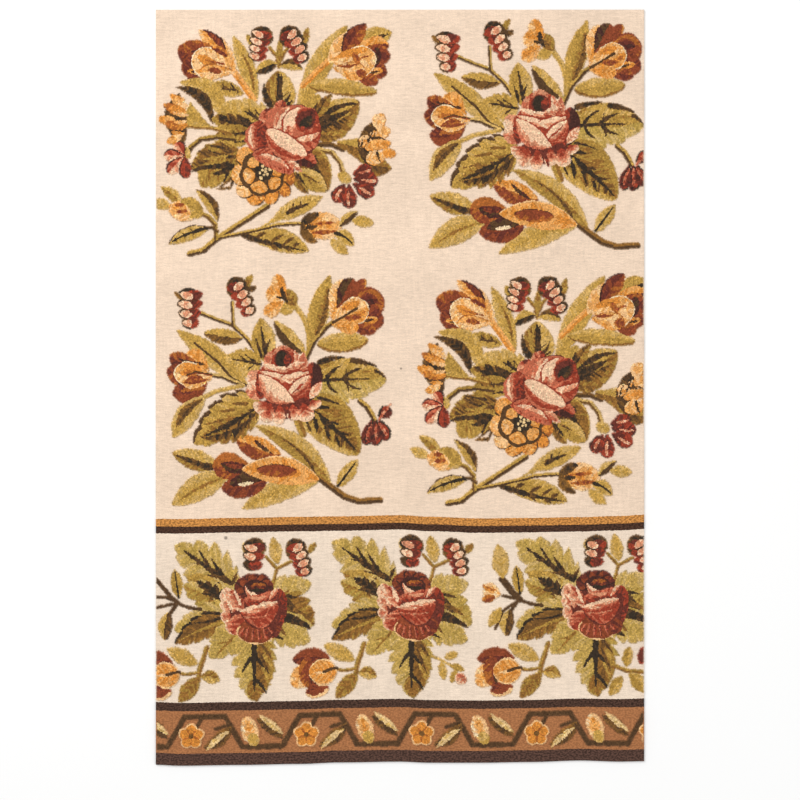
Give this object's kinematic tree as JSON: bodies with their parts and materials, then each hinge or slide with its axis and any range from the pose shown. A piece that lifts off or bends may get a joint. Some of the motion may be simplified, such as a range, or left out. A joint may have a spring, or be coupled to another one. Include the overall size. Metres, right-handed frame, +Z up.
{
  "type": "wool rug",
  "caption": "Flat-woven wool rug with raised pile bouquets, a flowered end border and a narrow vine guard stripe.",
  "frame": {"origin": "centre of the bounding box of the rug, on the floor face", "axes": "+Z up out of the pile face, +Y along the length from the bordered end to the plain end, +X across the width"},
  "size_m": [0.976, 1.5109, 0.0075],
  "materials": {
    "wool": "matte flat-woven wool with short raised wool pile"
  },
  "bodies": {
    "root": {"rug": "wool"}
  },
  "joints": []
}
